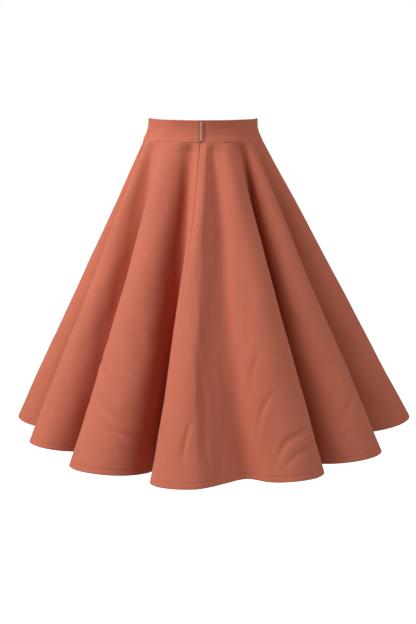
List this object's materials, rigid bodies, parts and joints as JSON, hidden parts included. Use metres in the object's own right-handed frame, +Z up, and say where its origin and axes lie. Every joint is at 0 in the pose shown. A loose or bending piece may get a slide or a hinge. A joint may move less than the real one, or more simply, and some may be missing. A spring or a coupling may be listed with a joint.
{
  "type": "circle skirt",
  "caption": "Knee-length circle skirt worn hollow, hanging in deep conical flutes from a contoured waistband, with a centre-back zip and pull.",
  "frame": {"origin": "centre of the waistband's top edge, where the wearer's waist holds the skirt", "axes": "+Z up, +Y towards the wearer's front, -Y towards the zip at the back, +X towards the wearer's right"},
  "size_m": [0.8529, 0.9728, 0.6707],
  "materials": {
    "skirt_cloth": "matt woven cloth, terracotta",
    "zip_tape": "woven tape, dyed to match",
    "zip_coil": "nylon coil, dyed to match",
    "zip_metal": "pale brushed brass"
  },
  "bodies": {
    "skirt": {"waistband": "skirt_cloth", "front_panel": "skirt_cloth", "back_panel_left": "skirt_cloth", "back_panel_right": "skirt_cloth", "zip_tape_left": "zip_tape", "zip_tape_right": "zip_tape", "zip_chain": "zip_coil", "zip_slider": "zip_metal"},
    "pull": {"zip_pull": "zip_metal"}
  },
  "joints": [
    {"name": "pull_swing", "type": "hinge", "parent": "skirt", "child": "pull", "pos_m": [0, -0.0955, -0.0105], "axis": [-1, 0, 0], "range_deg": [0, 150]}
  ]
}
